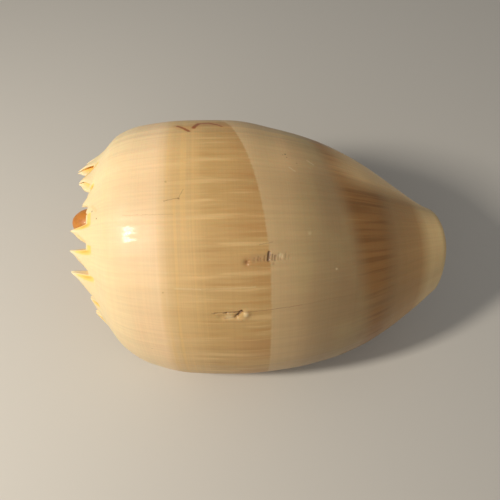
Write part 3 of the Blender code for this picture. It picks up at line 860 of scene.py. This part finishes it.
# Finish of the shell. Places are (turn, station) on the wall, as in the form; colours are linear.
finish = {
    # ground colour from the crown (0) to the front end (1)
    "ground": (
        (0.00, (0.88, 0.71, 0.41)),
        (0.08, (0.87, 0.67, 0.39)),
        (0.19, (0.86, 0.63, 0.37)),
        (0.30, (0.76, 0.54, 0.28)),
        (0.47, (0.58, 0.400, 0.200)),
        (0.54, (0.50, 0.340, 0.170)),
        (0.58, (0.43, 0.288, 0.142)),
        (0.623, (0.37, 0.250, 0.122)),
        (0.667, (0.335, 0.220, 0.106)),
        (0.80, (0.34, 0.205, 0.090)),
        (0.86, (0.42, 0.245, 0.098)),
        (0.915, (0.50, 0.290, 0.116)),
        (0.950, (0.68, 0.480, 0.230)),
        (1.00, (0.72, 0.520, 0.250)),
    ),
    # cloudy patches: colour, most cover, and the stations over which they come and go
    "olive": ((0.44, 0.335, 0.155), 0.45, (0.46, 0.56), (0.74, 0.84)),
    "peach": ((0.88, 0.58, 0.33), 0.35, (0.02, 0.10), (0.16, 0.26)),
    # wide ochre band
    "bandLeft": 0.235,
    "bandLeftSoft": 0.060,
    "bandLeftEnd": (0.25, 0.345),     # its left side is pale and streaked up to here
    "bandLeftCover": (0.74, 0.62),
    "bandRight": 0.481,
    "bandRightSoft": 0.003,
    "bandRed": (0.33, 0.47),          # redder over these stations
    "bandTurn": 0.22,                 # its right edge pulls back beyond this turn
    "bandPull": 2.0,
    "bandPullMost": 0.23,
    "ochre": (0.55, 0.350, 0.138),
    "ochreDark": (0.48, 0.275, 0.095),
    "ochreRed": (0.45, 0.235, 0.080),
    "ochrePale": (0.72, 0.490, 0.225),
    "streak": (0.74, 0.485, 0.195),
    # narrow brown band near the front end
    "brownLeft": 0.804,
    "brownSlant": 0.36,
    "brownSoft": (-0.030, 0.032),
    "brownFade": (0.785, 0.850),
    "brown": (0.325, 0.155, 0.044),
    "brownDark": (0.225, 0.098, 0.024),
    # beyond this turn it is paler: partly a paler older shell with a sharp edge, partly painted light on
    # the upper side, most of all near the front end
    "paleAndLitTurns": (-0.312, -0.362),
    "older": (0.16, 0.20),
    "litFrontStations": (0.46, 0.56),
    # pale colour laid over the older part near the front end: partly painted light catching its upper
    # edge, partly paler older shell
    "paleLitStrip": (0.70, 0.480, 0.230),
    "paleLitStripStations": (0.65, 0.78),
    "paleLitStripCover": 0.9,
    # crown; the gutter's yellow is painted light let through the thin scales, and the pit's orange is that
    # painted light with painted shade
    "spineTip": (0.93, 0.78, 0.52),
    "gutter": (0.96, 0.64, 0.150),
    "pit": (0.90, 0.42, 0.060),
    "dome": (0.58, 0.225, 0.038),
    "domeDark": (0.42, 0.140, 0.023),
    "tipHeights": (0.25, 0.85),
    "gutterDepths": (0.04, 0.26),
    "pitDepths": (0.26, 0.50),
    # under side and hollow
    "callus": (0.80, 0.60, 0.36),
    "callusTurns": (-0.66, -0.76),
    "callusCover": (0.55, 0.72),
    "inside": (0.80, 0.52, 0.27),
    "insideCover": 0.86,
    "deep": (0.66, 0.34, 0.13),
    "deepTurns": (-0.05, -0.55),
    "deepCover": 0.55,
    # patterns: scale along the whorl and across it, offset, detail
    "patterns": {
        "wander": (9.0, 3.0, 1.7, 2.0),
        "fine": (330.0, 5.0, 4.2, 3.0),
        "lines": (105.0, 2.6, 7.9, 3.0),
        "broad": (34.0, 1.8, 12.4, 2.0),
        "cloud": (7.0, 6.0, 21.3, 3.0),
        "spiral": (4.0, 80.0, 30.6, 2.0),
        "striae": (6.0, 210.0, 41.0, 2.0),
        "threads": (3.0, 250.0, 53.0, 2.0),
    },
    "mottleScale": 240.0,
    "trembleScale": 900.0,            # keeps the marks' edges from being perfect
    "tremble": 0.0006,
    # marks: width in metres, how much they cover, colour, and the places they run through
    "strokes": (
        (0.00400, 0.35, (0.62, 0.300, 0.080), ((-0.4200, 0.2450), (-0.4100, 0.2750))),
        (0.00500, 0.35, (0.60, 0.280, 0.080), ((-0.4200, 0.2980), (-0.4280, 0.3300), (-0.4190, 0.3850))),
        (0.00110, 0.85, (0.38, 0.095, 0.018), ((-0.4194, 0.2433), (-0.4110, 0.2640), (-0.4028, 0.2800))),
        (0.00150, 0.88, (0.35, 0.085, 0.016), ((-0.4125, 0.2933), (-0.4215, 0.3000), (-0.4278, 0.3067))),
        (0.00125, 0.85, (0.38, 0.095, 0.018), ((-0.4278, 0.3067), (-0.4306, 0.3367), (-0.4236, 0.3600))),
        (0.00095, 0.72, (0.42, 0.120, 0.025), ((-0.4236, 0.3600), (-0.4153, 0.3767))),
        (0.00030, 0.35, (0.18, 0.090, 0.050), ((-0.1810, 0.3250), (-0.1812, 0.3560))),
        (0.00030, 0.70, (0.16, 0.075, 0.040), ((-0.1812, 0.3560), (-0.1818, 0.3800), (-0.1826, 0.4060))),
        # painted shadow in a strip below the ticks of the crimped scar
        (0.00240, 0.30, (0.38, 0.230, 0.120), ((-0.2385, 0.4400), (-0.2390, 0.5000))),
        (0.00022, 0.45, (0.22, 0.110, 0.055), ((-0.1825, 0.4050), (-0.1835, 0.4830), (-0.1850, 0.5600))),
        (0.00022, 0.22, (0.22, 0.110, 0.055), ((-0.1850, 0.5600), (-0.1865, 0.6400), (-0.1850, 0.7000))),
        (0.00026, 0.50, (0.26, 0.150, 0.060), ((-0.3028, 0.2550), (-0.3018, 0.2380), (-0.3000, 0.2150))),
        (0.00024, 0.42, (0.30, 0.180, 0.070), ((-0.3125, 0.2667), (-0.3040, 0.2560))),
        (0.00020, 0.30, (0.40, 0.250, 0.120), ((-0.2870, 0.1050), (-0.2860, 0.1700), (-0.2850, 0.2400))),
        (0.00026, 0.40, (0.24, 0.140, 0.070), ((-0.2520, 0.4550), (-0.2545, 0.4900))),
        # dark colour in the notch of the healed gash: painted shade
        (0.00070, 0.75, (0.14, 0.060, 0.034), ((-0.1826, 0.4025), (-0.1780, 0.3925))),
        (0.00040, 0.55, (0.34, 0.200, 0.100), ((-0.1766, 0.3880), (-0.1750, 0.3600))),
        (0.00110, 0.28, (0.82, 0.500, 0.160), ((-0.3080, 0.0040), (-0.2990, 0.0200))),
        (0.00050, 0.30, (0.80, 0.660, 0.420), ((-0.3420, 0.5540), (-0.3370, 0.5680))),
        (0.00050, 0.30, (0.80, 0.660, 0.420), ((-0.3580, 0.6100), (-0.3520, 0.6260))),
        (0.00045, 0.30, (0.80, 0.640, 0.380), ((-0.2090, 0.2350), (-0.2085, 0.3000))),
        (0.00040, 0.18, (0.80, 0.640, 0.380), ((-0.2085, 0.3000), (-0.2092, 0.3700), (-0.2098, 0.4400))),
    ),
    "spots": (
        (0.0032, 0.40, (0.38, 0.180, 0.065), (-0.2350, 0.4230)),
        (0.0011, 0.60, (0.28, 0.110, 0.035), (-0.2350, 0.4210)),
        # two dark spots for the small pits at the broken spine's foot: painted shade
        (0.0007, 0.70, (0.26, 0.140, 0.050), (-0.3010, 0.0030)),
        (0.0006, 0.65, (0.30, 0.160, 0.060), (-0.2880, 0.0220)),
        (0.0006, 0.80, (0.12, 0.060, 0.030), (-0.3639, 0.5500)),
        (0.0004, 0.70, (0.14, 0.070, 0.030), (-0.3583, 0.5533)),
        (0.0004, 0.55, (0.16, 0.090, 0.040), (-0.3620, 0.5430)),
        (0.0006, 0.40, (0.20, 0.130, 0.060), (-0.3500, 0.5780)),
        (0.0008, 0.45, (0.36, 0.250, 0.090), (-0.3222, 0.2200)),
        (0.0007, 0.65, (0.24, 0.140, 0.050), (-0.3022, 0.2540)),
        (0.0006, 0.45, (0.34, 0.230, 0.100), (-0.2042, 0.2033)),
        (0.0006, 0.35, (0.34, 0.230, 0.100), (-0.1194, 0.1500)),
        (0.0012, 0.20, (0.80, 0.660, 0.420), (-0.2625, 0.5867)),
        (0.0007, 0.45, (0.84, 0.700, 0.420), (-0.2208, 0.6533)),
        (0.0040, 0.35, (0.54, 0.230, 0.090), (-0.4320, 0.3750)),
        (0.0016, 0.60, (0.84, 0.680, 0.400), (-0.1800, 0.4150)),
        (0.0022, 0.35, (0.78, 0.620, 0.350), (-0.1775, 0.3700)),
        (0.0016, 0.50, (0.80, 0.640, 0.380), (-0.2400, 0.5080)),
    ),
    "roughness": 0.46,
    "specular": 0.36,
    "coat": 0.12,
    "coatRoughness": 0.09,
    "glow": 0.12,             # light let through the thin scales
    "glowDepth": 0.003,
    "bumpDepth": 0.00004,
}


def patches(name, growth, across):
    # cloudy values stretched along or across the whorl
    along, sideways, offset, detail = finish["patterns"][name]
    place = {0: growth * along, 1: across * sideways, 2: offset}
    where = growth.node("ShaderNodeCombineXYZ", {}, place)
    sockets = {"Vector": where, "Scale": 1.0, "Detail": detail, "Roughness": 0.55}
    return where.node("ShaderNodeTexNoise", {}, sockets, 0)


def onWall(place):
    return (place[0] * scars["turnLength"], place[1] * scars["stationLength"], 0.0)


def lengthOf(offset):
    return offset.node("ShaderNodeVectorMath", {"operation": "LENGTH"}, {0: offset}, "Value")


def strokeCover(where, width, places):
    # how much a thin mark through the given places covers
    nearest = None
    for start, end in zip(places[:-1], places[1:]):
        start, end = np.array(onWall(start)), np.array(onWall(end))
        way = end - start
        offset = where - tuple(start)
        sockets = {0: offset, 1: tuple(way)}
        share = offset.node("ShaderNodeVectorMath", {"operation": "DOT_PRODUCT"}, sockets, "Value")
        share = (share * float(1.0 / way.dot(way))).clamped()
        sockets = {0: tuple(way), "Scale": share}
        reached = offset.node("ShaderNodeVectorMath", {"operation": "SCALE"}, sockets)
        left = lengthOf(offset - reached)
        nearest = left if nearest is None else nearest.maths("MINIMUM", left)
    return nearest.step(0.35 * width, width, 1.0, 0.0)


def spotCover(where, radius, place):
    return lengthOf(where - onWall(place)).step(0.2 * radius, radius, 1.0, 0.0)


def opaque(colour):
    return (*colour, 1.0)


def groundColour(growth, across, station):
    # cream, darker towards the front end, with cloudy olive and peach patches
    ramp = station.node("ShaderNodeValToRGB", {"stops": finish["ground"]}, {"Fac": station})
    cloud = patches("cloud", growth, across)
    ground = ramp
    for name, low, high in (("olive", 0.42, 0.66), ("peach", 0.45, 0.62)):
        colour, most, start, end = finish[name]
        stretch = across.step(*start) * across.step(*end, 1.0, 0.0)
        ground = ground.over(opaque(colour), cloud.step(low, high, 0.0, most) * stretch)
    return ramp, ground


def bandColour(ramp, fine, lines, broad, spiral, across, station):
    # ochre lined across by growth, redder to the right, pale and streaked to the left
    band = ramp.over(opaque(finish["ochre"]), 1.0)
    band = band.over(opaque(finish["ochreDark"]), lines.step(0.50, 0.66, 0.0, 0.75))
    band = band.over(opaque(finish["ochrePale"]), lines.step(0.36, 0.46, 0.62, 0.0))
    towardRight = across.step(*finish["bandRed"])
    band = band.over(opaque(finish["ochreRed"]), towardRight * broad.step(0.40, 0.62, 0.1, 0.65))
    band = band.over(opaque(finish["ochrePale"]), fine.step(0.60, 0.74, 0.0, 0.36))
    leftSide = station.step(*finish["bandLeftEnd"], 1.0, 0.0)
    pale, streaks = finish["bandLeftCover"]
    band = band.over(opaque(finish["ochrePale"]), leftSide * pale)
    return band.over(opaque(finish["streak"]), spiral.step(0.46, 0.60) * leftSide * streaks)


def brownColour(ramp, fine, lines):
    brown = ramp.over(opaque(finish["brown"]), 1.0)
    brown = brown.over(opaque(finish["brownDark"]), lines.step(0.46, 0.62, 0.0, 0.85))
    return brown.over(opaque(finish["ochre"]), fine.step(0.62, 0.76, 0.0, 0.35))


def markColour(colour, where):
    # strokes, spots and the ticks of the crimped scar; the ticks' dark colour, the notch stroke and the
    # pit spots are painted shade, and one stroke is a painted shadow below the ticks
    for width, cover, tint, places in finish["strokes"]:
        colour = colour.over(opaque(tint), strokeCover(where, width, places) * cover)
    for radius, cover, tint, place in finish["spots"]:
        colour = colour.over(opaque(tint), spotCover(where, radius, place) * cover)
    # the ticks' dark colour is painted shade in their grooves
    for station, length, _, halfWidth, dark in scars["ticks"]:
        cover = strokeCover(where, 2.0 * halfWidth, tickEnds(station, length))
        colour = colour.over(opaque(scars["tickShadeColour"]), cover * dark)
    return colour


def wallColour(growth, across, fine, lines):
    # the ground, both bands and faint growth lines
    wander, broad, spiral, threads = (
        patches(name, growth, across) for name in ("wander", "broad", "spiral", "threads")
    )
    wander = wander - 0.5
    station = across + wander * 0.012
    ragged = across + (fine - 0.5) * 0.006 + (lines - 0.5) * 0.004
    ramp, colour = groundColour(growth, across, station)

    # the wide band; its right edge pulls back on the older part
    late = ((growth + finish["bandTurn"]) * -1.0).maths("MAXIMUM", 0.0)
    late = late.maths("MINIMUM", finish["bandPullMost"])
    right = finish["bandRight"] - late * late * finish["bandPull"]
    inBand = (right - ragged).step(-finish["bandRightSoft"], finish["bandRightSoft"])
    softLeft = across + wander * 0.05 + (spiral - 0.5) * 0.03
    left = finish["bandLeft"]
    inBand = inBand * softLeft.step(left - finish["bandLeftSoft"], left + 0.006)
    band = bandColour(ramp, fine, lines, broad, spiral, across, station)
    colour = colour.over(band, inBand)

    # the narrow brown band, fading towards the front end
    left = growth * finish["brownSlant"] + finish["brownLeft"]
    inBrown = (ragged - left).step(*finish["brownSoft"])
    inBrown = inBrown * station.step(*finish["brownFade"], 1.0, 0.0)
    brown = brownColour(ramp, fine, lines)
    colour = colour.over(brown, inBrown * broad.step(0.30, 0.50, 0.72, 0.95))

    # faint growth lines everywhere, and the paler older part, which is partly painted light on the upper
    # side
    shade = fine.step(0.35, 0.65, 0.965, 1.02) * broad.step(0.35, 0.65, 0.97, 1.015)
    shade = shade * threads.step(0.35, 0.65, 0.98, 1.015)
    # paler and brighter beyond the turn: partly painted light from above, partly paler older shell
    older = (growth + wander * 0.015).step(*finish["paleAndLitTurns"])
    pale = across.step(*finish["paleLitStripStations"], 0.0, finish["paleLitStripCover"])
    colour = colour.over(opaque(finish["paleLitStrip"]), older * pale)
    everywhere, nearFront = finish["older"]
    shade = shade * (1.0 + older * everywhere)
    shade = shade * (1.0 + older * across.step(*finish["litFrontStations"]) * nearFront)
    shade = shade.node("ShaderNodeCombineColor", {}, {0: shade, 1: shade, 2: shade})
    return colour * shade


def crownColour(colour, across, crown, spine, hollow, mottle):
    # pale tips, yellow in the gutters and orange in the pits, which is painted light let through the thin
    # scales with painted shade in the pits, and an orange globe of first whorls
    scale = colour.over(opaque(finish["ground"][0][1]), crown)
    scale = scale.over(opaque(finish["spineTip"]), spine.step(*finish["tipHeights"], 0.0, 0.8))
    # gutters and pits: painted light let through the thin scales, with painted shade in the pits
    scale = scale.over(opaque(finish["gutter"]), hollow.step(*finish["gutterDepths"], 0.0, 0.85))
    scale = scale.over(opaque(finish["pit"]), hollow.step(*finish["pitDepths"], 0.0, 0.75))
    globe = scale.over(opaque(finish["dome"]), 1.0)
    globe = globe.over(opaque(finish["domeDark"]), mottle.step(0.48, 0.66, 0.0, 0.55))
    scale = scale.over(globe, across.step(-1.0, -0.97, 1.0, 0.0))
    return colour.over(scale, across.step(-0.02, 0.02, 1.0, 0.0))


def hiddenColour(colour, growth, across, inside, mottle):
    # the glazed under side, and the hollow, deeper in colour further in
    glaze = growth.step(*finish["callusTurns"]) * across.step(0.0, 0.06)
    cover = mottle.step(0.3, 0.7, *finish["callusCover"])
    colour = colour.over(opaque(finish["callus"]), glaze * cover)
    within = colour.over(opaque(finish["inside"]), finish["insideCover"])
    depth = growth.step(*finish["deepTurns"])
    within = within.over(opaque(finish["deep"]), depth * finish["deepCover"])
    return colour.over(within, inside)


def makeFinish():
    material = bpy.data.materials.new("shellPorcelain")
    material.use_nodes = True
    tree = material.node_tree
    surface = tree.nodes["Principled BSDF"]
    growth, across, crown, spine, hollow, inside = (
        Wire.make(tree, "ShaderNodeAttribute", {"attribute_name": name}, {}, "Fac")
        for name in ("growth", "across", "crown", "spine", "hollow", "inside")
    )
    grain = Wire.make(tree, "ShaderNodeTexCoord", {}, {}, "Object")
    sockets = {"Vector": grain, "Scale": finish["mottleScale"], "Detail": 3.0}
    mottle = grain.node("ShaderNodeTexNoise", {}, sockets, 0)
    fine, lines, striae = (patches(name, growth, across) for name in ("fine", "lines", "striae"))

    # where each point is on the wall, in metres along it and across it
    sockets = {0: growth * scars["turnLength"], 1: across * scars["stationLength"]}
    where = growth.node("ShaderNodeCombineXYZ", {}, sockets)
    sockets = {"Vector": grain, "Scale": finish["trembleScale"], "Detail": 2.0}
    tremble = grain.node("ShaderNodeTexNoise", {}, sockets, 1)
    sockets = {0: tremble, 1: (0.5, 0.5, 0.5)}
    tremble = grain.node("ShaderNodeVectorMath", {"operation": "SUBTRACT"}, sockets)
    where = where + tremble * (finish["tremble"], finish["tremble"], 0.0)

    colour = markColour(wallColour(growth, across, fine, lines), where)
    colour = crownColour(colour, across, crown, spine, hollow, mottle)
    colour = hiddenColour(colour, growth, across, inside, mottle)
    tree.links.new(colour.socket, surface.inputs["Base Color"])
    rough = finish["roughness"] + (mottle - 0.5) * 0.16 + (lines - 0.5) * 0.10 + hollow * 0.2
    tree.links.new(rough.socket, surface.inputs["Roughness"])
    coat = mottle.step(0.25, 0.65, 0.6 * finish["coat"], finish["coat"]) * (1.0 - crown * 0.5)
    tree.links.new(coat.socket, surface.inputs["Coat Weight"])
    height = fine * 0.8 + lines * 0.5 + striae * 0.25 + mottle * 0.25
    sockets = {"Strength": 0.6, "Distance": finish["bumpDepth"], "Height": height}
    bump = height.node("ShaderNodeBump", {}, sockets)
    tree.links.new(bump.socket, surface.inputs["Normal"])
    surface.inputs["Coat Roughness"].default_value = finish["coatRoughness"]
    surface.inputs["Specular IOR Level"].default_value = finish["specular"]
    surface.inputs["Subsurface Weight"].default_value = finish["glow"]
    surface.inputs["Subsurface Scale"].default_value = finish["glowDepth"]
    return material


shell.data.materials.append(makeFinish())
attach(shell, "root")
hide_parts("shell")
print("shell in place")

# The camera looks down on the shell's back; distances in metres, angles in degrees
view = {
    "target": (0.0000, -0.0011, 0.0412),
    "elevation": 58.27,
    "distance": 0.2733,
    "lens": 39.6,
    "sensor": 36.0,
    "clipStart": 0.01,
}


def makeCamera():
    camera = bpy.data.cameras.new("camera")
    camera.lens = view["lens"]
    camera.sensor_width = view["sensor"]
    camera.clip_start = view["clipStart"]
    holder = bpy.data.objects.new("camera", camera)
    bpy.context.scene.collection.objects.link(holder)
    angle = math.radians(view["elevation"])
    away = Vector((0.0, -math.cos(angle), math.sin(angle)))
    holder.location = Vector(view["target"]) + view["distance"] * away
    holder.rotation_euler = (math.radians(90.0 - view["elevation"]), 0.0, 0.0)
    bpy.context.scene.camera = holder


makeCamera()

# Soft studio light: a warm window to the left and a pale room around
light = {
    "keyPlace": (-0.385, -0.187, 0.430),
    "keyAim": (-0.02, -0.01, 0.05),
    "keySize": (0.060, 0.110),
    "keyPower": 2.45,
    "keyColour": (1.0, 0.92, 0.80),
    "fillPlace": (-0.25, -1.00, 0.60),
    "fillSize": 0.9,
    "fillPower": 1.5,
    "fillColour": (1.0, 0.93, 0.84),
    "roomColour": (0.92, 0.90, 0.87),
    "roomStrength": 0.27,
    "floorColour": (0.62, 0.60, 0.56),
    "floorSize": 3.0,
    "floorRoughness": 0.9,
}


def hangLamp(name, place, aim, size, power, colour):
    lamp = bpy.data.lights.new(name, "AREA")
    lamp.shape = "RECTANGLE"
    lamp.size, lamp.size_y = size
    lamp.energy = power
    lamp.color = colour
    holder = bpy.data.objects.new(name, lamp)
    holder.location = place
    away = Vector(aim) - Vector(place)
    holder.rotation_euler = away.to_track_quat("-Z", "Y").to_euler()
    bpy.context.scene.collection.objects.link(holder)


def makeLight():
    aim = light["keyAim"]
    hangLamp("window", light["keyPlace"], aim, light["keySize"], light["keyPower"], light["keyColour"])
    size = (light["fillSize"], light["fillSize"])
    hangLamp("fill", light["fillPlace"], aim, size, light["fillPower"], light["fillColour"])
    world = bpy.data.worlds.new("room")
    world.use_nodes = True
    room = world.node_tree.nodes["Background"]
    room.inputs["Color"].default_value = (*light["roomColour"], 1.0)
    room.inputs["Strength"].default_value = light["roomStrength"]
    bpy.context.scene.world = world
    bpy.context.scene.view_settings.view_transform = "Standard"


def makeFloor():
    half = 0.5 * light["floorSize"]
    data = bpy.data.meshes.new("floor")
    corners = [(-half, -half, 0.0), (half, -half, 0.0), (half, half, 0.0), (-half, half, 0.0)]
    data.from_pydata(corners, [], [(0, 1, 2, 3)])
    floor = bpy.data.objects.new("floor", data)
    bpy.context.scene.collection.objects.link(floor)
    material = bpy.data.materials.new("paleFloor")
    material.use_nodes = True
    surface = material.node_tree.nodes["Principled BSDF"]
    surface.inputs["Base Color"].default_value = (*light["floorColour"], 1.0)
    surface.inputs["Roughness"].default_value = light["floorRoughness"]
    data.materials.append(material)


makeLight()
makeFloor()
print("light, floor and camera in place")
